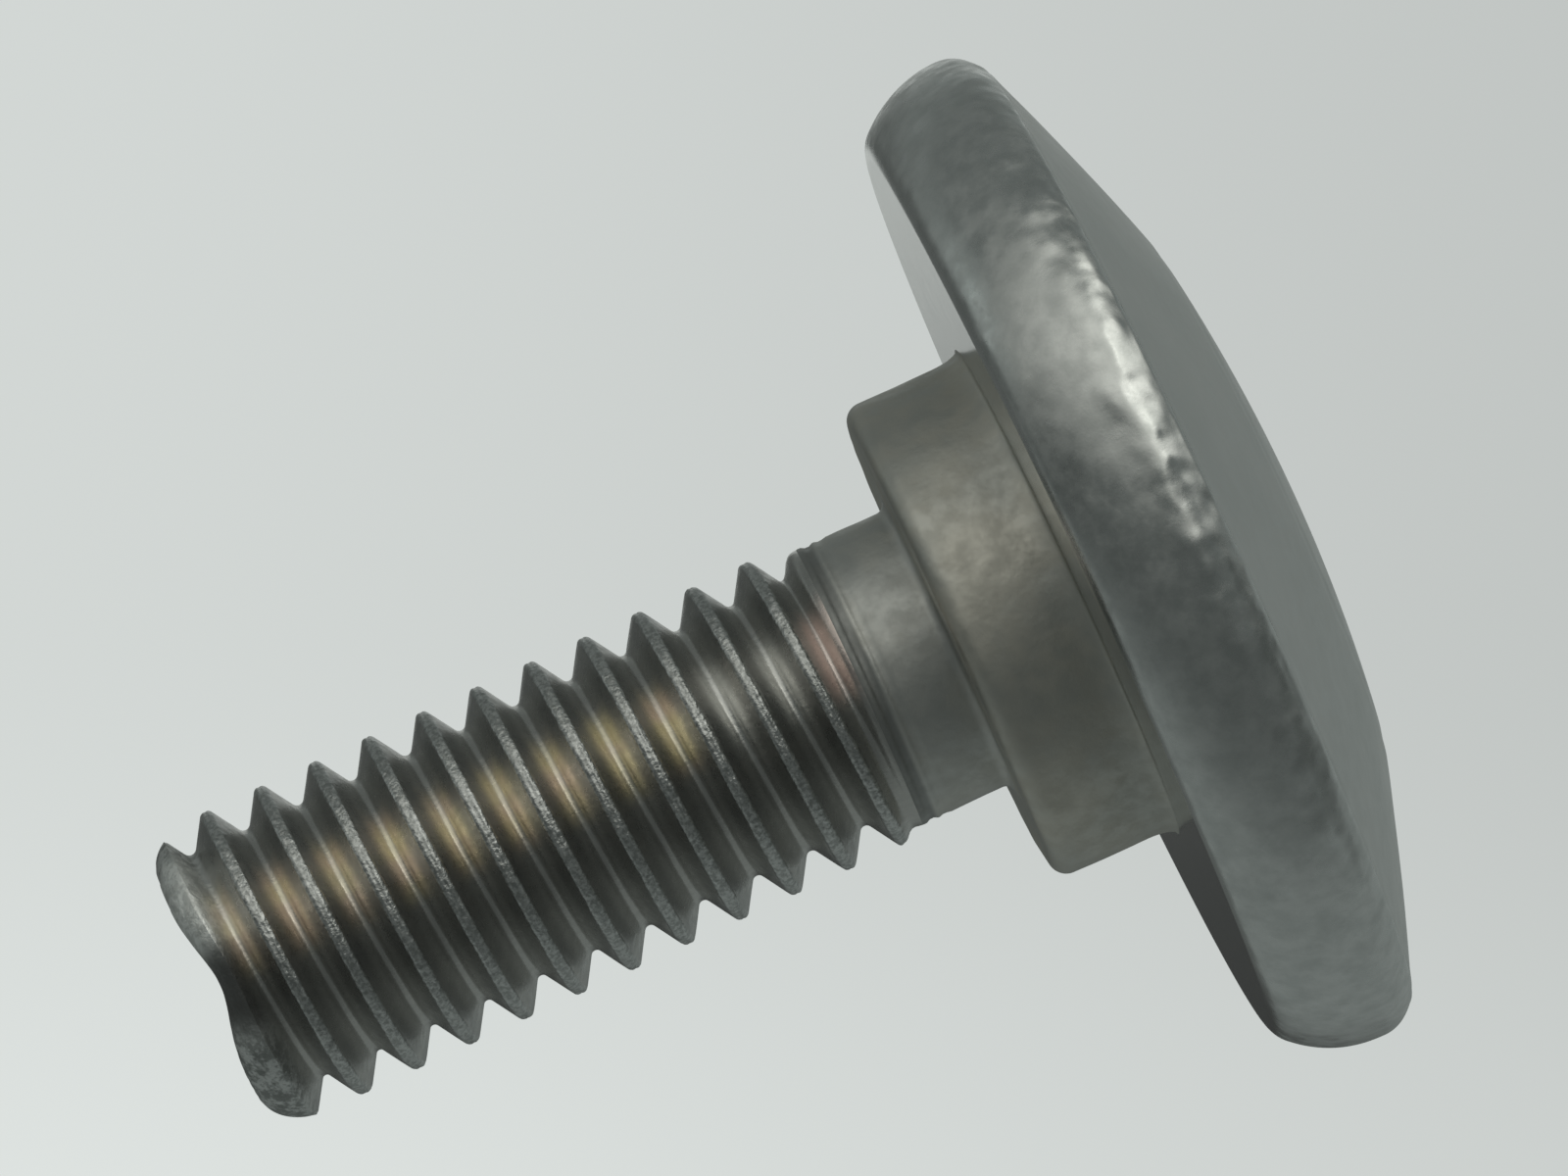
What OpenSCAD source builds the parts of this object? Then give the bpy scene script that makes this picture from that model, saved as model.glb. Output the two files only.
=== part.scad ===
// Mushroom-head shoulder screw: a rolled thread, a plain neck, a locating
// collar and a wide round head, all on one axis. The axis is Z, +Z points at
// the head, and the origin is the centre of the collar's seat face.

/* [Thread] */
// Diameter over the thread crests
thread_major_d = 7.7; // [7.6:0.1:8]
// Threads per inch
threads_per_inch = 18; // [16:1:20]
// Angle between the two flanks of the thread
thread_angle = 60; // [55:1:60]
// Depth of the thread as a share of its pitch
thread_depth_share = 0.57; // [0.5:0.01:0.6]
// Width of the crest as a share of the pitch
crest_share = 0.08; // [0.04:0.01:0.12]
// Diameter of the end face, inside its rounded chamfer
point_d = 5.8; // [5.2:0.1:6]
// Length of the rounded chamfer at the end
point_l = 1.4; // [1:0.1:2]
// Depth of the cup that rolling leaves in the end face
point_cup = 0.3; // [0:0.05:0.5]
// Length over which the last turn fades into the neck
runout_l = 0.7; // [0.4:0.1:1.2]
// Angle round the axis, from +X, at which the first crest leaves the end face
thread_start = 150; // [0:1:359]

/* [Shank] */
// Length from the collar's seat face to the end
shank_l = 19.35; // [16:0.05:24]
// Length of the plain neck under the collar
neck_l = 2.35; // [2.05:0.05:4]
// Diameter of the plain neck
neck_d = 7.2; // [7:0.1:7.4]
// Fillet between the neck and the collar's seat face
neck_fillet = 0.25; // [0.1:0.05:0.5]

/* [Collar] */
// Diameter of the collar
collar_d = 12.3; // [11:0.1:14]
// Height of the collar from its seat face to the head
collar_h = 3.1; // [2.5:0.1:6]
// Rounding of the collar's seat edge
collar_edge_r = 0.45; // [0.2:0.05:0.8]
// Fillet between the collar and the head
collar_fillet = 0.2; // [0.1:0.05:0.4]

/* [Head] */
// Greatest diameter of the head
head_d = 25.6; // [24:0.1:30]
// Height of the head's widest line above its underside
waist_h = 2.4; // [2:0.1:3]
// Radius of the rim's barrelled side
rim_side_r = 3.1; // [3.1:0.1:4]
// Width of the bevel between the underside and the rim
rim_bevel_w = 0.6; // [0.2:0.1:1]
// Height of that bevel
rim_bevel_h = 0.35; // [0.2:0.05:0.6]
// Radius of the rim's upper corner
rim_corner_r = 1.05; // [0.8:0.05:1.4]
// Slope of the cone where it leaves the rim
cone_foot_slope = 21.7; // [20:0.1:26]
// Slope of the cone where it meets the dome
cone_top_slope = 16.8; // [14:0.1:19]
// Diameter of the dome
dome_d = 13.8; // [10:0.1:16]
// Radius of the dome's surface
dome_r = 40; // [35:1:60]

/* [Hidden] */
$fn = 128;

rolled_steel = "#6b675e";
satin_steel = "#7f7d74";
tumbled_steel = "#858a86";
smooth_steel = "#727674";

pitch = 25.4 / threads_per_inch;
thread_depth = thread_depth_share * pitch;
thread_r = thread_major_d / 2;
thread_l = shank_l - neck_l;
point_r = point_d / 2;
neck_r = neck_d / 2;
collar_r = collar_d / 2;
dome_edge_r = dome_d / 2;

// The neck and the collar each end in a foot that fills a shallow recess in
// the next solid, so that both seat faces are rings.
foot_h = 0.4;
neck_foot_r = neck_r + neck_fillet;
collar_foot_r = collar_r + collar_fillet;

// The rim's side and corner are arcs that meet at the widest line. The cone
// is a slack arc that leaves the corner arc without a kink.
waist_z = collar_h + waist_h;
rim_side_centre = [head_d / 2 - rim_side_r, waist_z];
rim_corner_centre = [head_d / 2 - rim_corner_r, waist_z];
rim_foot_angle = -asin((waist_h - rim_bevel_h) / rim_side_r);
underside_r = rim_side_centre.x + rim_side_r * cos(rim_foot_angle) - rim_bevel_w;
cone_foot = on_circle(rim_corner_centre, rim_corner_r, 90 - cone_foot_slope);
cone_arc_r = (cone_foot.x - dome_edge_r) / (sin(cone_foot_slope) - sin(cone_top_slope));
cone_centre = on_circle(cone_foot, -cone_arc_r, 90 - cone_foot_slope);
dome_foot = on_circle(cone_centre, cone_arc_r, 90 - cone_top_slope);
dome_foot_angle = acos(dome_edge_r / dome_r);
dome_centre = on_circle(dome_foot, -dome_r, dome_foot_angle);

// The thread's mesh has columns round the axis, and in each turn one row at
// each share of the pitch where the thread's profile bends.
columns = 56;
flank_share = thread_depth_share * tan(thread_angle / 2);
row_shares = [
    crest_share / 2,
    crest_share / 2 + 0.9 * flank_share,
    crest_share / 2 + flank_share,
    1 - crest_share / 2 - flank_share,
    1 - crest_share / 2 - 0.9 * flank_share,
    1 - crest_share / 2,
];
turn_rows = len(row_shares);
rows = turn_rows * (ceil(thread_l / pitch) + 1);
least_row_step = 0.01;

// The point on a circle at an angle
function on_circle(centre, r, angle) = centre + r * [cos(angle), sin(angle)];

// Points along an arc from one angle to another, both ends included
function arc(centre, r, from, to, steps) = [
    for (i = [0:steps]) on_circle(centre, r, from + (to - from) * i / steps)
];

// Share of the full depth that the groove has at a share of the pitch, which
// runs from one crest to the next; its bottom corners are rounded
function groove(share) =
    let (down = (min(share, 1 - share) - crest_share / 2) / flank_share)
    down < 0.9 ? max(0, down) : down < 1.01 ? 0.96 : 1;

// Radius of the rounded chamfer at a height over the end face
function chamfer_r(h) =
    let (left = max(0, 1 - h / point_l))
    point_r + (thread_r - point_r) * sqrt(1 - left * left);

// Share of the thread that has faded into the neck at a height over the end
function faded(h) = min(1, max(0, (h - thread_l) / runout_l + 1));

// Radius of the shank at a height over the end, where turn is the angle as a
// share of a full turn: the thread is right-handed
function shank_r(h, turn) =
    let (
        along = h / pitch - turn,
        cut_r = thread_r - thread_depth * groove(along - floor(along)),
        fade = faded(h)
    )
    min(chamfer_r(h), cut_r * (1 - fade) + neck_r * fade);

// Height of a row in a column: rows climb with the helix, and those past the
// end or the neck lie pressed together there
function row_h(row, turn) =
    let (
        turns = floor(row / turn_rows) + row_shares[row % turn_rows] + turn - 1,
        over_end = max(turns * pitch, least_row_step * row)
    )
    min(over_end, thread_l - least_row_step * (rows - 1 - row));

// Index of the point in a row and a column: the column after the last one is
// the first one, a turn further up
function at(row, column) =
    row * columns + column + (column < columns ? 0 : (turn_rows - 1) * columns);

module threaded_shank() {
    points = [
        for (row = [0:rows - 1], column = [0:columns - 1])
            let (
                turn = column / columns,
                h = row_h(row, turn),
                r = shank_r(h, turn)
            )
            [r * cos(360 * turn), r * sin(360 * turn), h]
    ];
    end_centre = len(points);
    neck_centre = end_centre + 1;

    wall = [
        for (row = [0:rows - 2], column = [0:columns - 1])
            if (column < columns - 1 || row + 1 + turn_rows < rows)
                for (half = [0, 1])
                    half == 0
                    ? [at(row, column), at(row + 1, column), at(row + 1, column + 1)]
                    : [at(row, column), at(row + 1, column + 1), at(row, column + 1)]
    ];
    end_edge = concat(
        [for (column = [0:columns - 1]) at(0, column)],
        [for (row = [turn_rows:-1:0]) at(row, 0)]
    );
    neck_edge = concat(
        [for (column = [0:columns - 1]) at(rows - 1, column)],
        [for (step = [1:turn_rows]) at(rows - 1 - step, columns - 1)],
        [at(rows - 1, 0)]
    );
    end_face = [
        for (i = [0:len(end_edge) - 2]) [end_centre, end_edge[i], end_edge[i + 1]]
    ];
    neck_face = [
        for (i = [0:len(neck_edge) - 2]) [neck_centre, neck_edge[i + 1], neck_edge[i]]
    ];

    color(rolled_steel)
        translate([0, 0, -shank_l])
            rotate([0, 0, thread_start])
                polyhedron(
                    points = concat(points, [[0, 0, point_cup], [0, 0, thread_l]]),
                    faces = concat(wall, end_face, neck_face)
                );
}

module neck() {
    color(satin_steel)
        rotate_extrude()
            polygon(concat(
                [[0, foot_h], [0, -neck_l], [neck_r, -neck_l]],
                arc([neck_foot_r, -neck_fillet], neck_fillet, 180, 90, 6),
                [[neck_foot_r, foot_h]]
            ));
}

module collar() {
    edge_centre = [collar_r - collar_edge_r, collar_edge_r];
    fillet_centre = [collar_foot_r, collar_h - collar_fillet];
    color(satin_steel)
        rotate_extrude()
            polygon(concat(
                [[0, collar_h + foot_h], [0, foot_h], [neck_foot_r, foot_h], [neck_foot_r, 0]],
                arc(edge_centre, collar_edge_r, -90, 0, 6),
                arc(fillet_centre, collar_fillet, 180, 90, 6),
                [[collar_foot_r, collar_h + foot_h]]
            ));
}

module head_disc() {
    color(tumbled_steel)
        rotate_extrude()
            polygon(concat(
                [[0, cone_foot.y], [0, collar_h + foot_h]],
                [[collar_foot_r, collar_h + foot_h], [collar_foot_r, collar_h]],
                [[underside_r, collar_h]],
                arc(rim_side_centre, rim_side_r, rim_foot_angle, 0, 10),
                arc(rim_corner_centre, rim_corner_r, 6, 90 - cone_foot_slope, 9)
            ));
}

module crown() {
    color(smooth_steel)
        rotate_extrude()
            polygon(concat(
                [[0, cone_foot.y]],
                arc(cone_centre, cone_arc_r, 90 - cone_foot_slope, 90 - cone_top_slope, 6),
                arc(dome_centre, dome_r, dome_foot_angle + 0.5, 90, 8)
            ));
}

threaded_shank();
neck();
collar();
head_disc();
crown();
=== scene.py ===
"""A mushroom-head shoulder screw over a pale studio floor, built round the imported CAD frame.

Outlines are in millimetres, as (radius, height) pairs on the screw's own axis, and become metres
when a mesh is made. The axis is Z, the head is at the top, and z = 0 is the collar's seat face.
"""
import math

import bmesh
import bpy
import numpy as np
from mathutils import Matrix, Vector, noise

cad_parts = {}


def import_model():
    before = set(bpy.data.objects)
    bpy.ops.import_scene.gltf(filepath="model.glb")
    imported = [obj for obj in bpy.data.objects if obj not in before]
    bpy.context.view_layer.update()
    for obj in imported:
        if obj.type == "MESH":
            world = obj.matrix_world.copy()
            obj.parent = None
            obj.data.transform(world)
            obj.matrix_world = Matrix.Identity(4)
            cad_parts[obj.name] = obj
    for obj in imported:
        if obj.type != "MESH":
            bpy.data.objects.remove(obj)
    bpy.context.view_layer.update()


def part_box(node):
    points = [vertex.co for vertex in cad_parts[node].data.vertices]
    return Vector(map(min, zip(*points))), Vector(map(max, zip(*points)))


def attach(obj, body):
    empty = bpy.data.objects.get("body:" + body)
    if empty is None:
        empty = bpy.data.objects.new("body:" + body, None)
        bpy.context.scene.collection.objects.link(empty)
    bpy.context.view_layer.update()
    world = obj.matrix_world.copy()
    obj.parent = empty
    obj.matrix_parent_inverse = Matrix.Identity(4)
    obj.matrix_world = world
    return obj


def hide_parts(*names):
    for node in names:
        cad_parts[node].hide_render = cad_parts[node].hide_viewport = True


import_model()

MM = 0.001
INCH = 25.4


# ---------------------------------------------------------------- sizes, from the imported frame

def top_mm(node):
    """A CAD node's highest z, in millimetres."""
    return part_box(node)[1].z / MM


def foot_mm(node):
    """A CAD node's lowest z, in millimetres."""
    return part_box(node)[0].z / MM


def radius_mm(node):
    """A CAD node's greatest radius, in millimetres."""
    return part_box(node)[1].x / MM


SHANK_END = foot_mm("threaded_shank")
SHANK_TOP = top_mm("threaded_shank")
THREAD_R = radius_mm("threaded_shank")
THREAD_L = SHANK_TOP - SHANK_END
THREADS_PER_INCH = 18
PITCH = INCH / THREADS_PER_INCH
THREAD_DEPTH_SHARE = 0.57
THREAD_DEPTH = THREAD_DEPTH_SHARE * PITCH
THREAD_START = math.radians(150)

NECK_R = 3.6
NECK_FOOT_R = radius_mm("neck")
COLLAR_R = 6.15
COLLAR_FOOT_R = radius_mm("collar")
SEAT_EDGE_R = 0.45
HEAD_FOOT = foot_mm("head_disc")
FOOT_H = top_mm("collar") - HEAD_FOOT
HEAD_R = radius_mm("head_disc")
WAIST_H = 2.4
WAIST = HEAD_FOOT + WAIST_H
CONE_FOOT = foot_mm("crown")
CONE_FOOT_R = radius_mm("crown")
CROWN_TOP = top_mm("crown")


# ---------------------------------------------------------------- outlines

def on_circle(centre, r, degrees):
    """The point on a circle at an angle."""
    a = math.radians(degrees)
    return centre[0] + r * math.cos(a), centre[1] + r * math.sin(a)


def arc(centre, r, start, stop, steps):
    """Points along an arc from one angle to another, both ends included."""
    return [on_circle(centre, r, start + (stop - start) * i / steps) for i in range(steps + 1)]


def fine(outline, step):
    """The same outline with points no further apart than step, except in its first and last
    lines, which are the hidden faces that meet the next piece."""
    points = [outline[0]]
    for (r0, z0), (r1, z1) in zip(outline[1:], outline[2:-1]):
        count = max(1, math.ceil(math.hypot(r1 - r0, z1 - z0) / step))
        points += [(r0 + (r1 - r0) * i / count, z0 + (z1 - z0) * i / count)
                   for i in range(count)]
    return points + outline[-2:]


# ---------------------------------------------------------------- meshes

SHARP_ANGLE = math.radians(50)
SEED_STEP = (17.3, 5.1, 9.7)


def make_piece(name, points_mm, faces, node, material):
    """A smooth mesh piece that rides on the screw and stands for a CAD node."""
    mesh = bpy.data.meshes.new(name)
    mesh.from_pydata((np.asarray(points_mm) * MM).tolist(), [], faces)
    mesh.validate()
    piece = bpy.data.objects.new(name, mesh)
    bpy.context.scene.collection.objects.link(piece)
    mesh.shade_smooth()
    mesh.set_sharp_from_angle(angle=SHARP_ANGLE)
    piece.data.materials.append(material)
    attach(piece, "root")
    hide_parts(node)


def rough(points, size, depth, seed):
    """Soft noise at points in millimetres, from -depth to depth, with bumps of about that size."""
    shift = Vector([seed * step for step in SEED_STEP])
    return np.array([noise.noise(Vector(p) / size + shift) for p in points]) * depth


def from_0_to_1(value):
    return np.clip(value, 0, 1)


def lathe(outline, columns, relief):
    """Points and faces of the solid that an outline sweeps round the axis.

    The outline runs from the axis, up round the outside, and back to the axis. relief takes the
    points and gives how far each moves along its own normal."""
    inner = np.array(outline[1:-1])
    along = np.gradient(inner, axis=0)
    along /= np.linalg.norm(along, axis=1)[:, None]
    turn = np.arange(columns) * 2 * math.pi / columns
    cos, sin = np.cos(turn), np.sin(turn)
    points = np.stack([np.outer(inner[:, 0], cos), np.outer(inner[:, 0], sin),
                       np.repeat(inner[:, 1], columns).reshape(-1, columns)], -1).reshape(-1, 3)
    normals = np.stack([np.outer(along[:, 1], cos), np.outer(along[:, 1], sin),
                        np.repeat(-along[:, 0], columns).reshape(-1, columns)], -1).reshape(-1, 3)
    points += normals * relief(points)[:, None]
    rows = len(inner)
    first, last = rows * columns, rows * columns + 1
    points = np.vstack([points, [0, 0, outline[0][1]], [0, 0, outline[-1][1]]])
    after = (np.arange(columns) + 1) % columns
    faces = []
    for row in range(rows - 1):
        low, high = row * columns, (row + 1) * columns
        faces += [(low + c, low + d, high + d, high + c) for c, d in enumerate(after)]
    top = (rows - 1) * columns
    faces += [(first, int(d), c) for c, d in enumerate(after)]
    faces += [(last, top + c, top + int(d)) for c, d in enumerate(after)]
    return points, [tuple(int(i) for i in f) for f in faces]


# ---------------------------------------------------------------- the threaded shank

CREST_W = 0.22
CREST_EDGE_R = 0.14
CREST_SEAM = 0.013
CREST_SEAM_W = 0.035
CREST_WORN_D = 0.12
FLANK_ANGLE = math.radians(32)
END_R = 2.9
END_CHAMFER_L = 1.4
RUNOUT_L = 0.7
THREAD_COLUMNS = 240
LEAD_IN_FOOT = 0.25
LEAD_IN_L = 0.6
END_CAP_SHARES = (0.97, 0.93, 0.85, 0.72, 0.58, 0.44, 0.30, 0.15)
END_CUP = 0.3
TROUGH_DEPTH = 0.4
TROUGH_W = 1.25
TROUGH_TOP = 1.5
CUT_TOLERANCE = 1e-4
ON_CUT = 1e-3
HALF_ROW_SHARES = (0.0, 0.023, 0.042, 0.060, 0.078, 0.094, 0.110, 0.16, 0.22, 0.28, 0.34, 0.396,
                   0.42, 0.445, 0.47, 0.50)
ROW_SHARES = HALF_ROW_SHARES + tuple(1 - share for share in HALF_ROW_SHARES[-2:0:-1])


def groove_depth(share):
    """How deep the thread's groove is at a share of the pitch from a crest: a crest with round
    edges and the faint seam of a rolled thread, straight flanks, and a round root."""
    from_crest = np.minimum(share, 1 - share) * PITCH
    flank = np.maximum(0, from_crest - CREST_W / 2) / math.tan(FLANK_ANGLE)
    edge_from = CREST_W / 2 - CREST_EDGE_R * math.tan((math.pi / 2 - FLANK_ANGLE) / 2)
    past_edge = from_crest - edge_from
    edge = CREST_EDGE_R - np.sqrt(np.maximum(0, CREST_EDGE_R ** 2 - past_edge ** 2))
    on_edge = (past_edge > 0) & (past_edge < CREST_EDGE_R * math.cos(FLANK_ANGLE))
    apex = (PITCH - CREST_W) / 2 / math.tan(FLANK_ANGLE)
    root_r = (apex - THREAD_DEPTH) / (1 / math.sin(FLANK_ANGLE) - 1)
    from_root = PITCH / 2 - from_crest
    root = THREAD_DEPTH - root_r + np.sqrt(np.maximum(0, root_r ** 2 - from_root ** 2))
    at_root = from_root < root_r * math.cos(FLANK_ANGLE)
    seam = CREST_SEAM * np.exp(-(from_crest / CREST_SEAM_W) ** 2)
    return np.where(at_root, root, np.where(on_edge, edge, flank)) + seam


def ease(share):
    """The same share from 0 to 1, with a soft start and a soft stop."""
    return share * share * (3 - 2 * share)


def shank_radius(h, turn):
    """Radius of the shank at a height over its end face and a share of a full turn."""
    along = h / PITCH - turn
    groove_h = (np.floor(along) + 0.5 + turn) * PITCH
    lead = ease(from_0_to_1((groove_h - LEAD_IN_FOOT) / LEAD_IN_L))
    cut = THREAD_R - groove_depth(along - np.floor(along)) * lead
    fade = ease(from_0_to_1((h - THREAD_L) / RUNOUT_L + 1))
    left = from_0_to_1(1 - h / END_CHAMFER_L)
    chamfer = END_R + (THREAD_R - END_R) * np.sqrt(1 - left * left)
    return np.minimum(cut * (1 - fade) + NECK_R * fade, chamfer)


def helical_grid():
    """Points and faces of the thread's open surface, which runs past both ends of the shank."""
    per_turn = len(ROW_SHARES)
    turns = math.ceil(THREAD_L / PITCH) + 3
    rows = turns * per_turn
    row = np.arange(rows)
    level = row // per_turn + np.array(ROW_SHARES)[row % per_turn] - 2
    turn = np.arange(THREAD_COLUMNS) / THREAD_COLUMNS
    h = (level[:, None] + turn[None, :]) * PITCH
    r = shank_radius(h, turn[None, :])
    angle = turn * 2 * math.pi + THREAD_START
    points = np.stack([r * np.cos(angle), r * np.sin(angle), h + SHANK_END], -1).reshape(-1, 3)

    def at(row, column):
        wrapped = column == THREAD_COLUMNS
        return (row + per_turn * wrapped) * THREAD_COLUMNS + (0 if wrapped else column)

    faces = [
        (at(i, c), at(i, c + 1), at(i + 1, c + 1), at(i + 1, c))
        for i in range(rows - 1 - per_turn)
        for c in range(THREAD_COLUMNS)
    ]
    return points, faces


def thread_relief(points):
    """Nicks in the crests and soft waves all over, except on the cut ends."""
    radius = np.hypot(points[:, 0], points[:, 1])
    crest = from_0_to_1((radius - THREAD_R + CREST_WORN_D) / 0.1)
    outside = (points[:, 2] < SHANK_TOP - 0.02) & (radius > 1)
    nicks = -np.abs(rough(points, size=0.3, depth=0.035, seed=1)) * crest
    return (nicks + rough(points, size=0.9, depth=0.01, seed=2)) * outside


def threaded_shank(material):
    """The rolled thread, cut off square at both ends, with a cupped end face and a trough."""
    points, faces = helical_grid()
    raw = bpy.data.meshes.new("raw_thread")
    raw.from_pydata(points.tolist(), [], faces)
    bm = bmesh.new()
    bm.from_mesh(raw)
    bpy.data.meshes.remove(raw)
    loose = [v for v in bm.verts if not v.link_faces]
    bmesh.ops.delete(bm, geom=loose, context="VERTS")
    cut_flat(bm, SHANK_END, -1)
    cut_flat(bm, SHANK_TOP, 1)
    cap(bm, SHANK_END, END_CAP_SHARES, lambda share: END_CUP * (1 - share ** 2))
    cap(bm, SHANK_TOP, (), lambda share: 0)
    for v in bm.verts:
        v.co.z += end_trough(v.co)
    bm.normal_update()
    bm.verts.index_update()
    points = np.array([v.co for v in bm.verts])
    normals = np.array([v.normal for v in bm.verts])
    # The extruded rings of the cap come in no fixed order, so the faces are sorted.
    faces = sorted(tuple(v.index for v in f.verts) for f in bm.faces)
    bm.free()
    points += normals * thread_relief(points)[:, None]
    points[:, 2] = np.maximum(points[:, 2], SHANK_END)
    make_piece("rolled_thread", points, faces, "threaded_shank", material)


def end_trough(co):
    """How far a point near the end rises in the shallow trough that runs across the end."""
    over_end = (co.z - SHANK_END) / TROUGH_TOP
    if over_end > 1:
        return 0.0
    across = Vector((co.x, co.y)).dot(ACROSS)
    return TROUGH_DEPTH * math.exp(-(across / TROUGH_W) ** 2) * (1 - max(0, over_end)) ** 2


def cut_flat(bm, z, side):
    """Cuts the mesh along a level plane, and drops what lies on that side of it."""
    geom = bm.verts[:] + bm.edges[:] + bm.faces[:]
    bmesh.ops.bisect_plane(bm, geom=geom, dist=CUT_TOLERANCE, plane_co=(0, 0, z),
                           plane_no=(0, 0, side), clear_outer=True)


def cap(bm, z, shares, rise):
    """Closes the open end at a height with rings at those shares of its radius, and a centre."""
    edges = [e for e in bm.edges
             if e.is_boundary and all(abs(v.co.z - z) < ON_CUT for v in e.verts)]
    before = 1.0
    for share in shares:
        grown = bmesh.ops.extrude_edge_only(bm, edges=edges)["geom"]
        edges = [g for g in grown if isinstance(g, bmesh.types.BMEdge) and g.is_boundary]
        for v in {v for e in edges for v in e.verts}:
            v.co.x *= share / before
            v.co.y *= share / before
            v.co.z = z + rise(share)
        before = share
    centre = bm.verts.new((0, 0, z + rise(0)))
    for e in edges:
        bm.faces.new((e.verts[0], e.verts[1], centre))
    bmesh.ops.recalc_face_normals(bm, faces=bm.faces[:])


# ---------------------------------------------------------------- neck, collar, head

NECK_RINGS = ((0.12, 0), (0.22, 0.05), (0.33, 0.05), (0.42, 0.005), (0.46, 0), (0.56, 0.03),
              (0.66, 0.025), (0.78, 0))


def neck(material):
    """The plain neck, with fine rings beside the thread. NECK_RINGS gives them as (height over
    the neck's foot, cut into its radius) pairs."""
    fillet = NECK_FOOT_R - NECK_R
    outline = [(0, SHANK_TOP), (NECK_R, SHANK_TOP)]
    outline += [(NECK_R - cut, SHANK_TOP + over) for over, cut in NECK_RINGS]
    outline += arc((NECK_FOOT_R, -fillet), fillet, 180, 90, steps=8)
    outline += [(NECK_FOOT_R, FOOT_H), (0, FOOT_H)]

    def relief(points):
        shown = (points[:, 2] > SHANK_TOP + 0.02) & (points[:, 2] < -0.05)
        return (rough(points, size=0.7, depth=0.015, seed=3)
                + rough(points, size=2.5, depth=0.03, seed=10)) * shown

    points, faces = lathe(fine(outline, step=0.06), columns=360, relief=relief)
    make_piece("plain_neck", points, faces, "neck", material)


FLARE_L = 0.7
COLLAR_SLACK = 0.012


def collar(material):
    """The locating collar, with a rounded seat edge. It flares out to the head over FLARE_L, by
    as much as its fillet in the CAD solid."""
    fillet = COLLAR_FOOT_R - COLLAR_R
    outline = [(0, FOOT_H), (NECK_FOOT_R, FOOT_H), (NECK_FOOT_R, 0)]
    outline += arc((COLLAR_R - SEAT_EDGE_R, SEAT_EDGE_R), SEAT_EDGE_R, -90, 0, steps=12)
    outline += [(r, HEAD_FOOT + z * FLARE_L / fillet)
                for r, z in arc((COLLAR_FOOT_R, -fillet), fillet, 180, 90, steps=8)]
    outline += [(COLLAR_FOOT_R, HEAD_FOOT + FOOT_H), (0, HEAD_FOOT + FOOT_H)]

    def relief(points):
        r = np.hypot(points[:, 0], points[:, 1])
        shown = (r > NECK_FOOT_R + 0.02) & (points[:, 2] < HEAD_FOOT - 0.03)
        return (rough(points, size=0.8, depth=0.012, seed=4)
                + rough(points, size=3.0, depth=0.03, seed=5) - COLLAR_SLACK) * shown

    points, faces = lathe(fine(outline, step=0.08), columns=480, relief=relief)
    make_piece("locating_collar", points, faces, "collar", material)


RIM_SIDE_R = 3.1
UNDER_EDGE_R = 1.0
TOP_EDGE_R = 1.05
CONE_FOOT_SLOPE = 21.7
CONE_TOP_SLOPE = 16.8
DOME_EDGE_R = 6.9
DOME_R = 40
RIM_INNER_R = 11.4
HEAD_SLACK = 0.040
CREASE_DEPTH = 0.02
CREASE_W = 0.12


def head_relief(points):
    """Tumbling dents on the head, deepest on the rim, and a fine crease where the cone begins."""
    r = np.hypot(points[:, 0], points[:, 1])
    outside = from_0_to_1((r - COLLAR_FOOT_R) / 0.3)
    upper = from_0_to_1((points[:, 2] - WAIST) / 1.2 + 1)
    rim = from_0_to_1((r - RIM_INNER_R) / 0.8) * (0.3 + 0.7 * upper)
    from_line = np.hypot(r - CONE_FOOT_R, points[:, 2] - CONE_FOOT)
    off_line = from_0_to_1(from_line / 0.3)
    crease = CREASE_DEPTH * from_0_to_1(1 - from_line / CREASE_W)
    off_underside = from_0_to_1((points[:, 2] - HEAD_FOOT) / 0.3)
    dents = (rough(points, size=1.2, depth=0.026, seed=6)
             + rough(points, size=0.6, depth=0.004, seed=7))
    waves = (rough(points, size=4.0, depth=0.04, seed=8)
             + rough(points, size=1.3, depth=0.006, seed=9))
    return (dents * rim + waves - HEAD_SLACK) * outside * off_line * off_underside - crease


def head_disc(material):
    """The head's flat underside, its rolled-over lower edge, and the barrelled rim."""
    drop = WAIST - HEAD_FOOT - UNDER_EDGE_R
    across = math.sqrt((RIM_SIDE_R - UNDER_EDGE_R) ** 2 - drop ** 2)
    meet = -math.degrees(math.atan2(drop, across))
    outline = [(0, HEAD_FOOT + FOOT_H), (COLLAR_FOOT_R, HEAD_FOOT + FOOT_H),
               (COLLAR_FOOT_R, HEAD_FOOT)]
    outline += arc((HEAD_R - RIM_SIDE_R + across, HEAD_FOOT + UNDER_EDGE_R), UNDER_EDGE_R,
                   -90, meet, steps=10)[:-1]
    outline += arc((HEAD_R - RIM_SIDE_R, WAIST), RIM_SIDE_R, meet, 0, steps=24)
    outline += arc((HEAD_R - TOP_EDGE_R, WAIST), TOP_EDGE_R, 3, 90 - CONE_FOOT_SLOPE, steps=16)
    outline += [(0, CONE_FOOT)]
    points, faces = lathe(fine(outline, step=0.10), columns=840, relief=head_relief)
    make_piece("head_rim", points, faces, "head_disc", material)


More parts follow.
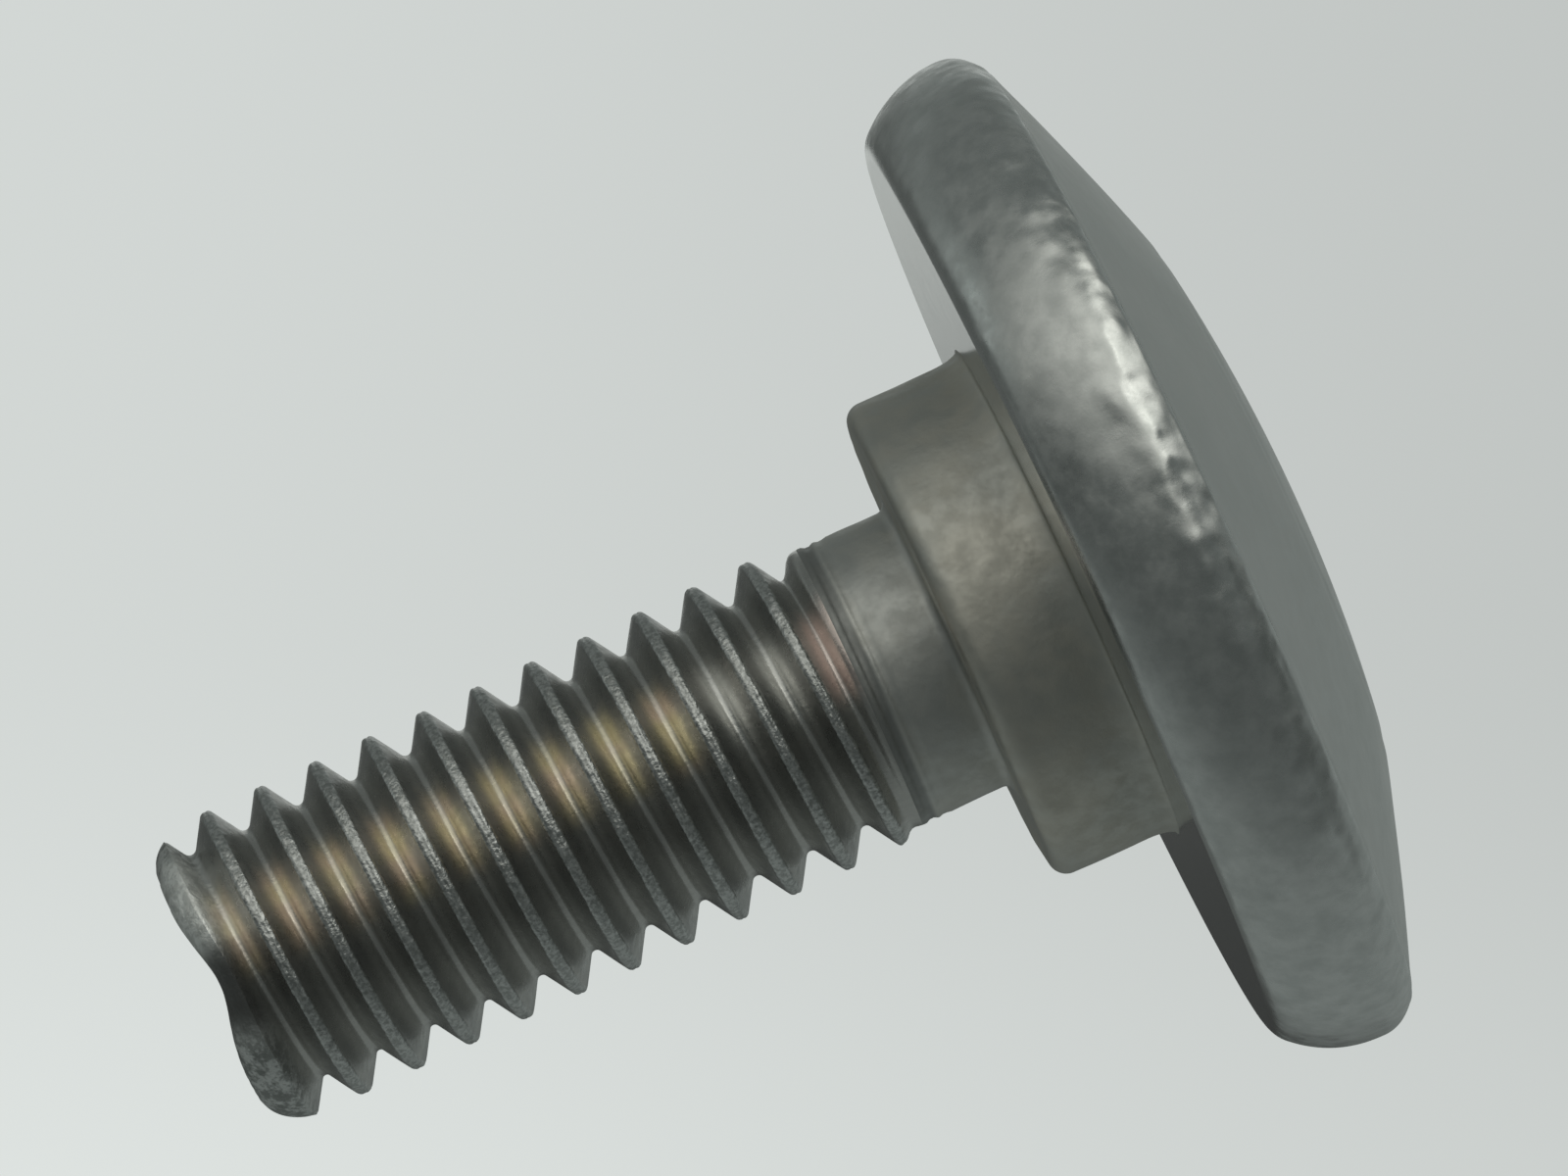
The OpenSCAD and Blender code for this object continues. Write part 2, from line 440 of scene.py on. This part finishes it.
def crown(material):
    """The head's shallow cone and domed middle."""
    foot_sine = math.sin(math.radians(CONE_FOOT_SLOPE))
    top_sine = math.sin(math.radians(CONE_TOP_SLOPE))
    cone_r = (CONE_FOOT_R - DOME_EDGE_R) / (foot_sine - top_sine)
    cone_centre = on_circle((CONE_FOOT_R, CONE_FOOT), -cone_r, 90 - CONE_FOOT_SLOPE)
    cone = arc(cone_centre, cone_r, 90 - CONE_FOOT_SLOPE, 90 - CONE_TOP_SLOPE, steps=12)
    dome_edge = math.degrees(math.acos(cone[-1][0] / DOME_R))
    dome_centre = on_circle(cone[-1], -DOME_R, dome_edge)
    outline = [(0, CONE_FOOT)] + cone
    outline += arc(dome_centre, DOME_R, dome_edge + 0.6, 89.9, steps=16)
    outline += [(0, CROWN_TOP)]
    points, faces = lathe(fine(outline, step=0.15), columns=720, relief=head_relief)
    make_piece("head_crown", points, faces, "crown", material)


# ---------------------------------------------------------------- materials

class Nodes:
    """Short calls that add nodes to one tree and link them."""

    def __init__(self, tree):
        self.tree = tree

    def add(self, kind, **settings):
        node = self.tree.nodes.new(kind)
        for key, value in settings.items():
            setattr(node, key, value)
        return node

    def put(self, socket, value):
        """Sets a socket to a number or colour, or links it to another node's output."""
        if isinstance(value, bpy.types.NodeSocket):
            self.tree.links.new(value, socket)
        else:
            socket.default_value = value

    def math(self, operation, *values):
        node = self.add("ShaderNodeMath", operation=operation)
        for socket, value in zip(node.inputs, values):
            self.put(socket, value)
        return node.outputs[0]

    def dot(self, vector, direction):
        node = self.add("ShaderNodeVectorMath", operation="DOT_PRODUCT")
        self.put(node.inputs[0], vector)
        self.put(node.inputs[1], direction)
        return node.outputs["Value"]

    def ramp(self, value, stops):
        """A ramp of greys: stops are (place, grey) pairs, with places from 0 to 1."""
        node = self.add("ShaderNodeValToRGB")
        bar = node.color_ramp
        bar.interpolation = "EASE"
        while len(bar.elements) < len(stops):
            bar.elements.new(1)
        for element, (place, grey) in zip(bar.elements, stops):
            element.position = place
            element.color = (grey, grey, grey, 1)
        self.put(node.inputs[0], value)
        return node.outputs["Color"]

    def span(self, value, low, high, out_low=0.0, out_high=1.0, mode="SMOOTHSTEP"):
        """Carries a value from one range to another, and holds it at the ends."""
        node = self.add("ShaderNodeMapRange", interpolation_type=mode)
        for name, number in (("From Min", low), ("From Max", high),
                             ("To Min", out_low), ("To Max", out_high)):
            node.inputs[name].default_value = number
        self.put(node.inputs["Value"], value)
        return node.outputs["Result"]

    def mix(self, factor, a, b, blend="MIX"):
        node = self.add("ShaderNodeMix", data_type="RGBA", blend_type=blend)
        self.put(node.inputs["Factor"], factor)
        self.put(node.inputs["A"], a)
        self.put(node.inputs["B"], b)
        return node.outputs["Result"]

    def noise(self, size_mm, detail, roughness):
        """Noise with blotches of about that size, from 0 to 1 and mostly near 0.5."""
        node = self.add("ShaderNodeTexNoise")
        node.inputs["Scale"].default_value = 1 / (size_mm * MM)
        node.inputs["Detail"].default_value = detail
        node.inputs["Roughness"].default_value = roughness
        self.put(node.inputs["Vector"], self.place())
        return node.outputs["Fac"]

    def place(self):
        """Where a point is on the screw, in metres."""
        return self.add("ShaderNodeTexCoord").outputs["Object"]

    def radius_and_height(self):
        """A point's distance from the axis and its height, both in millimetres."""
        parts = self.add("ShaderNodeSeparateXYZ")
        self.put(parts.inputs[0], self.place())
        x, y, z = parts.outputs
        across = self.math("SQRT", self.math("ADD", self.math("POWER", x, 2.0),
                                             self.math("POWER", y, 2.0)))
        return self.math("MULTIPLY", across, 1 / MM), self.math("MULTIPLY", z, 1 / MM)

    def facing(self, azimuth, radius):
        """How far a point lies towards an azimuth: 1 there, 0 at the side, -1 opposite."""
        side = self.dot(self.place(), heading(azimuth, 0) * (1 / MM))
        return self.math("DIVIDE", side, radius)

    def bump(self, height, depth_mm, normal=None):
        node = self.add("ShaderNodeBump")
        node.inputs["Distance"].default_value = depth_mm * MM
        self.put(node.inputs["Height"], height)
        if normal is not None:
            self.put(node.inputs["Normal"], normal)
        return node.outputs["Normal"]


def metal(name):
    """A bare metal, with its shader and a helper for its nodes."""
    material = bpy.data.materials.new(name)
    material.use_nodes = True
    shader = material.node_tree.nodes["Principled BSDF"]
    shader.inputs["Metallic"].default_value = 1
    return material, shader, Nodes(material.node_tree)


# The first azimuth is the lit side: there the cut end and the thread's roots get painted highlight
# colours, and the rim gets its deepest dents. The second is where the cut end gets a patch of
# painted shade.
SHOWN_AZIMUTH = 6
PAINTED_SHADE_AZIMUTH = 30
# Root colours for the lit side only: film tints and a lighter grey, painted there as highlight.
STRAW = (0.68, 0.625, 0.475, 1)
TAN = (0.66, 0.58, 0.50, 1)
PINK = (0.63, 0.545, 0.51, 1)
PAINTED_HIGHLIGHT_ROOT = (0.60, 0.60, 0.58, 1)
DULL_ROOT = (0.50, 0.495, 0.475, 1)
DARK_FLANK = (0.36, 0.36, 0.35, 1)
LIGHT_FLANK = (0.43, 0.425, 0.405, 1)
DARK_CREST = (0.38, 0.39, 0.38, 1)
LIGHT_CREST = (0.60, 0.61, 0.60, 1)
# The cut end's own gritty grey, then the same grey made lighter as painted highlight for the lit
# side, then a painted shade colour for a patch beside it.
DULL_END = ((0.30, 0.31, 0.30, 1), (0.66, 0.67, 0.66, 1))
PAINTED_HIGHLIGHT_END = ((0.74, 0.75, 0.73, 1), (0.97, 0.98, 0.96, 1))
PAINTED_SHADE_END = (0.17, 0.17, 0.165, 1)
# A darker grey for the neck's lowest part, beside the thread.
DARK_NECK_BAND = (0.34, 0.345, 0.335, 1)
UNDERSIDE_ROUGHNESS = 0.17


def end_colour(n, radius):
    """The cut end: gritty grey, with a painted highlight on its lit side and a patch of painted
    shade beside it.
    """
    # Painted highlight: the end is coloured lighter towards the lit side.
    bright = n.span(n.facing(SHOWN_AZIMUTH, radius), 0.60, 0.86)
    # Painted shade: a dark patch on the end, just beside the lit side.
    dark = n.span(n.facing(PAINTED_SHADE_AZIMUTH, radius), 0.91, 0.995)
    grit = n.span(n.noise(0.35, 3.0, 0.7), 0.42, 0.58)
    end = n.mix(bright, n.mix(grit, *DULL_END), n.mix(grit, *PAINTED_HIGHLIGHT_END))
    return n.mix(dark, end, PAINTED_SHADE_END)


def thread_colour(n, radius, height, at_crest):
    """Speckled crests, dark flanks, and dull roots. On the lit side the roots carry painted
    highlight: a straw film tint on the lower ones, a lighter grey higher up, and a pink tint on
    the last one, by the neck."""
    # Painted highlight: the roots take these lighter and tinted colours only towards the lit side,
    # where the highlight falls.
    painted_highlight_side = n.span(n.facing(SHOWN_AZIMUTH, radius), 0.89, 0.98)
    film = n.mix(n.span(n.noise(1.1, 2.0, 0.5), 0.38, 0.62), STRAW, TAN)
    upper = n.mix(n.span(height, -3.3, -3.0), PAINTED_HIGHLIGHT_ROOT, PINK)
    film = n.mix(n.span(height, -6.4, -5.6), film, upper)
    stain = n.noise(1.6, 3.0, 0.6)
    root = n.mix(n.math("MULTIPLY", painted_highlight_side, n.span(stain, 0.3, 0.6, 0.7, 1.0)), DULL_ROOT, film)
    flank = n.mix(n.span(stain, 0.35, 0.65), DARK_FLANK, LIGHT_FLANK)
    crest = n.mix(n.span(n.noise(0.12, 3.0, 0.7), 0.40, 0.60), DARK_CREST, LIGHT_CREST)
    in_thread = n.span(height, -2.9, -3.2)
    on_flank = n.math("MULTIPLY", n.span(radius, 3.2, 3.55), in_thread)
    return n.mix(at_crest, n.mix(on_flank, root, flank), crest)


def rolled_steel():
    """The rolled thread's steel, rougher on the crests and roughest on the cut end."""
    material, shader, n = metal("rolled_steel")
    radius, height = n.radius_and_height()
    at_crest = n.span(radius, 3.72, 3.79)
    at_end = n.span(height, -17.9, -18.7)
    colour = n.mix(at_end, thread_colour(n, radius, height, at_crest), end_colour(n, radius))
    n.put(shader.inputs["Base Color"], colour)
    worn = n.math("MAXIMUM", at_crest, at_end)
    rub = n.span(n.noise(0.25, 3.0, 0.6), 0.3, 0.7, 0.25, 0.37)
    rub = n.math("ADD", rub, n.math("MULTIPLY", worn, 0.05))
    n.put(shader.inputs["Roughness"], n.math("ADD", rub, n.math("MULTIPLY", at_end, 0.18)))
    fine_bumps = n.bump(n.noise(0.13, 2.0, 0.6), 0.008)
    n.put(shader.inputs["Normal"], n.bump(n.math("MULTIPLY", n.noise(0.13, 2.0, 0.6), worn),
                                          0.025, fine_bumps))
    return material


def satin_steel(name, colour, film):
    """A soft mottled gloss with a thin film in patches, and a darker band beside the thread."""
    material, shader, n = metal(name)
    patch = n.noise(2.2, 3.0, 0.55)
    height = n.radius_and_height()[1]
    by_thread = n.span(height, SHANK_TOP + 0.44, SHANK_TOP + 0.30)
    away_from_thread = n.mix(n.span(patch, 0.35, 0.65), colour, film)
    # The neck is coloured darker in its lowest part, beside the thread.
    n.put(shader.inputs["Base Color"], n.mix(by_thread, away_from_thread, DARK_NECK_BAND))
    mottle = n.noise(0.55, 3.0, 0.6)
    n.put(shader.inputs["Roughness"], n.span(mottle, 0.3, 0.7, 0.45, 0.60))
    bumps = n.bump(n.noise(0.5, 2.0, 0.5), 0.020)
    n.put(shader.inputs["Normal"], n.bump(n.noise(0.12, 2.0, 0.6), 0.003, bumps))
    return material


def tumbled_steel():
    """Tumbled steel: small dents all over, deeper on the upper corner, most of all in the struck
    part of it that the photograph shows, and a smoother face underneath."""
    material, shader, n = metal("tumbled_steel")
    blotch = n.noise(0.7, 4.0, 0.65)
    n.put(shader.inputs["Base Color"],
          n.mix(n.span(blotch, 0.3, 0.7), (0.58, 0.595, 0.585, 1), (0.68, 0.69, 0.68, 1)))
    radius, height = n.radius_and_height()
    rim = n.span(height, HEAD_FOOT + 0.02, HEAD_FOOT + 0.15)
    struck = n.span(n.facing(SHOWN_AZIMUTH, radius), 0.78, 0.95)
    patches = n.math("MAXIMUM", struck, n.span(n.noise(2.4, 2.0, 0.5), 0.45, 0.65, 0.15, 0.7))
    knocked = n.math("MULTIPLY", n.span(height, WAIST - 0.7, WAIST + 0.2), patches)
    mottle = n.span(n.noise(0.45, 3.0, 0.6), 0.3, 0.7, 0.27, 0.42)
    rubbed = n.math("SUBTRACT", mottle, n.math("MULTIPLY", knocked, 0.10))
    added = n.math("MULTIPLY", n.math("SUBTRACT", rubbed, UNDERSIDE_ROUGHNESS), rim)
    n.put(shader.inputs["Roughness"], n.math("ADD", added, UNDERSIDE_ROUGHNESS))
    depth = n.math("MULTIPLY", n.math("ADD", n.math("MULTIPLY", knocked, 0.8), 0.2), rim)
    dents = n.math("MULTIPLY", n.noise(1.0, 1.0, 0.5), depth)
    n.put(shader.inputs["Normal"], n.bump(n.noise(0.09, 2.0, 0.6), 0.002, n.bump(dents, 0.17)))
    return material


def smooth_steel():
    """The crown's fine, even finish."""
    material, shader, n = metal("smooth_steel")
    cloud = n.noise(3.0, 4.0, 0.55)
    n.put(shader.inputs["Base Color"],
          n.mix(n.span(cloud, 0.3, 0.7), (0.62, 0.635, 0.625, 1), (0.66, 0.67, 0.66, 1)))
    grain = n.noise(0.5, 4.0, 0.6)
    n.put(shader.inputs["Roughness"], n.span(grain, 0.3, 0.7, 0.38, 0.48))
    n.put(shader.inputs["Normal"], n.bump(n.noise(0.15, 3.0, 0.6), 0.003))
    return material


# ---------------------------------------------------------------- camera, light and floor

CAMERA_AZIMUTH = 26
CAMERA_DISTANCE = 0.2217
LENS_MM = 213.75
SENSOR_MM = 36
AXIS_ROLL = 24.75
AXIS_TILT = 1.07
AIM_HEIGHT = -2.975
AIM_ASIDE = 2.905


def heading(azimuth, elevation):
    """The direction from the screw towards a place round it."""
    a, e = math.radians(azimuth), math.radians(elevation)
    return Vector((math.sin(a) * math.cos(e), -math.cos(a) * math.cos(e), math.sin(e)))


TO_CAMERA = heading(CAMERA_AZIMUTH, -AXIS_TILT)
ALONG = (Vector((0, 0, 1)) - TO_CAMERA * TO_CAMERA.z).normalized()
ASIDE = TO_CAMERA.cross(ALONG)
ACROSS = Vector((ASIDE.x, ASIDE.y)).normalized()
ROLL = math.radians(AXIS_ROLL)
RIGHT = ALONG * math.cos(ROLL) - ASIDE * math.sin(ROLL)
UP = ALONG * math.sin(ROLL) + ASIDE * math.cos(ROLL)


def camera():
    """The camera, rolled so that the screw's axis climbs to the right."""
    aim = Vector((0, 0, AIM_HEIGHT * MM)) + ASIDE * AIM_ASIDE * MM
    data = bpy.data.cameras.new("camera")
    data.sensor_width = SENSOR_MM
    data.lens = LENS_MM
    data.clip_start = 0.01
    data.clip_end = 20
    cam = bpy.data.objects.new("camera", data)
    turned = Matrix((RIGHT, UP, TO_CAMERA)).transposed().to_4x4()
    cam.matrix_world = Matrix.Translation(aim + TO_CAMERA * CAMERA_DISTANCE) @ turned
    bpy.context.scene.collection.objects.link(cam)
    bpy.context.scene.camera = cam


def sun(name, azimuth, elevation, strength, spread, colour):
    """A soft, distant lamp: spread is how wide it looks, in degrees."""
    data = bpy.data.lights.new(name, "SUN")
    data.energy = strength
    data.angle = math.radians(spread)
    data.color = colour
    lamp = bpy.data.objects.new(name, data)
    lamp.rotation_euler = heading(azimuth, elevation).to_track_quat("Z", "Y").to_euler()
    bpy.context.scene.collection.objects.link(lamp)


PAPER = (0.600, 0.630, 0.615)
COOL = (0.93, 1.03, 0.99)
WARM = (1.02, 1.02, 0.94)
ROOM_BANDS = ((-180, 0.27), (-150, 0.25), (-120, 0.245), (-92, 0.235), (-74, 0.18),
              (-56, 0.12), (-40, 0.10), (-15, 0.105), (0, 0.13), (60, 0.165), (85, 0.175),
              (105, 0.165), (130, 0.165), (155, 0.24), (180, 0.27))
FAR_LEFT_BANDS = ((-180, 0.14), (-150, 0.09), (-5, 0.09), (30, 0.15), (95, 0.16), (120, 0.60),
                  (172, 0.60), (180, 0.14))
WINDOW_BANDS = ((5, 0.0), (24, 0.46), (43, 0.63), (60, 0.50), (74, 0.18), (90, 0.0))
WINDOW_LEAN = 50
BEHIND_TINT = (0.97, 1.02, 0.985)
BEHIND_LEFT = (0.11, 0.12, 0.115, 1)
FAR_RIGHT = (0.09, 0.10, 0.095, 1)
BEHIND_BANDS = ((-180, 0.64), (-179.5, 0.64), (-176.5, 0.045), (-150, 0.045), (150, 0.64),
                (180, 0.64))
BEHIND_SHARE = ((-180, 1.0), (-160, 1.0), (-145, 0.0), (150, 0.0), (165, 1.0), (180, 1.0))


def world():
    """The room that the metal mirrors: a long soft window above the camera's line of sight, a
    dim band below it, and grey walls. Only the camera sees the paper behind the screw.

    The bands are (angle, light) pairs. The angle is 0 towards the camera, 90 at the picture's
    top and 180 behind the screw. right is -1 at the picture's left and 1 at its right."""
    made = bpy.data.worlds.new("studio")
    bpy.context.scene.world = made
    made.use_nodes = True
    made.node_tree.nodes.clear()
    n = Nodes(made.node_tree)
    towards = n.add("ShaderNodeTexCoord").outputs["Generated"]
    right = n.dot(towards, RIGHT)
    over = n.math("ARCTAN2", n.dot(towards, UP), n.dot(towards, TO_CAMERA))
    place = n.span(over, -math.pi, math.pi, mode="LINEAR")

    def bands(place, stops):
        return n.ramp(place, [((angle + 180) / 360, level) for angle, level in stops])

    def tinted(light, tint):
        return n.mix(1.0, light, (*tint, 1), "MULTIPLY")

    room = tinted(bands(place, ROOM_BANDS), COOL)
    room = n.mix(n.span(right, -0.86, -0.97), room, tinted(bands(place, FAR_LEFT_BANDS), COOL))
    room = n.mix(n.span(right, 0.86, 0.97), room, FAR_RIGHT)
    behind = tinted(bands(place, BEHIND_BANDS), BEHIND_TINT)
    behind = n.mix(n.span(right, -0.16, -0.24), behind, BEHIND_LEFT)
    share = n.math("MULTIPLY", bands(place, BEHIND_SHARE), n.span(right, 0.34, 0.02))
    room = n.mix(share, room, behind)
    lean = n.span(right, 0.18, 0.80, 0, WINDOW_LEAN / 360)
    window = tinted(bands(n.math("SUBTRACT", place, lean), WINDOW_BANDS), WARM)
    strength = n.math("MULTIPLY", n.span(right, 0.02, 0.40, 1.0, 1.85),
                      n.span(right, -0.85, -0.35, 0.55, 1.0))
    window = n.mix(1.0, window, n.math("MULTIPLY", strength, n.span(right, 0.95, 0.55)),
                   "MULTIPLY")
    seen = n.mix(1.0, room, window, "ADD")
    lit = n.add("ShaderNodeBackground")
    n.put(lit.inputs["Color"], seen)
    backdrop = n.add("ShaderNodeBackground")
    n.put(backdrop.inputs["Color"], (*PAPER, 1))
    across = n.span(right, -0.10, 0.12, 1.08, 0.88)
    foot = n.span(n.dot(towards, UP), -0.08, 0.0, 1.14, 1.0)
    n.put(backdrop.inputs["Strength"], n.math("MULTIPLY", across, foot))
    shader = n.add("ShaderNodeMixShader")
    n.put(shader.inputs[0], n.add("ShaderNodeLightPath").outputs["Is Camera Ray"])
    n.put(shader.inputs[1], lit.outputs[0])
    n.put(shader.inputs[2], backdrop.outputs[0])
    n.put(n.add("ShaderNodeOutputWorld").inputs["Surface"], shader.outputs[0])


FLOOR_Z = -0.050
FLOOR_R = 0.27
FLOOR_FADE_R = 0.14
FLOOR_CLEAR_R = 0.2646
FLOOR_ALBEDO = 0.75
FLOOR_GLOW = 0.42


def floor():
    """A pale floor below the screw's end, which fades into the paper at its edge. The metal does
    not mirror it."""
    bpy.ops.mesh.primitive_circle_add(vertices=128, radius=FLOOR_R, fill_type="NGON",
                                      location=(0, 0, FLOOR_Z))
    disc = bpy.context.object
    disc.name = "studio_floor"
    material = bpy.data.materials.new("pale_floor")
    material.use_nodes = True
    material.node_tree.nodes.clear()
    n = Nodes(material.node_tree)
    matt = n.add("ShaderNodeBsdfDiffuse")
    n.put(matt.inputs["Color"], (*(FLOOR_ALBEDO * c / PAPER[1] for c in PAPER), 1))
    glow = n.add("ShaderNodeEmission")
    n.put(glow.inputs["Color"], (*(FLOOR_GLOW * c / PAPER[1] for c in PAPER), 1))
    both = n.add("ShaderNodeAddShader")
    n.put(both.inputs[0], matt.outputs[0])
    n.put(both.inputs[1], glow.outputs[0])
    fade = n.add("ShaderNodeMixShader")
    radius = n.radius_and_height()[0]
    n.put(fade.inputs[0], n.span(radius, FLOOR_FADE_R / MM, FLOOR_CLEAR_R / MM))
    n.put(fade.inputs[1], both.outputs[0])
    n.put(fade.inputs[2], n.add("ShaderNodeBsdfTransparent").outputs[0])
    n.put(n.add("ShaderNodeOutputMaterial").inputs["Surface"], fade.outputs[0])
    disc.data.materials.append(material)
    disc.visible_glossy = False
    disc.visible_diffuse = False


camera()
world()
sun("key", CAMERA_AZIMUTH - 38, 34, 0.02, 14, WARM)
floor()
threaded_shank(rolled_steel())
neck(satin_steel("neck_steel", (0.55, 0.555, 0.535, 1), (0.61, 0.605, 0.57, 1)))
collar(satin_steel("collar_steel", (0.55, 0.55, 0.515, 1), (0.63, 0.61, 0.55, 1)))
head_disc(tumbled_steel())
crown(smooth_steel())

bpy.context.scene.view_settings.view_transform = "Standard"
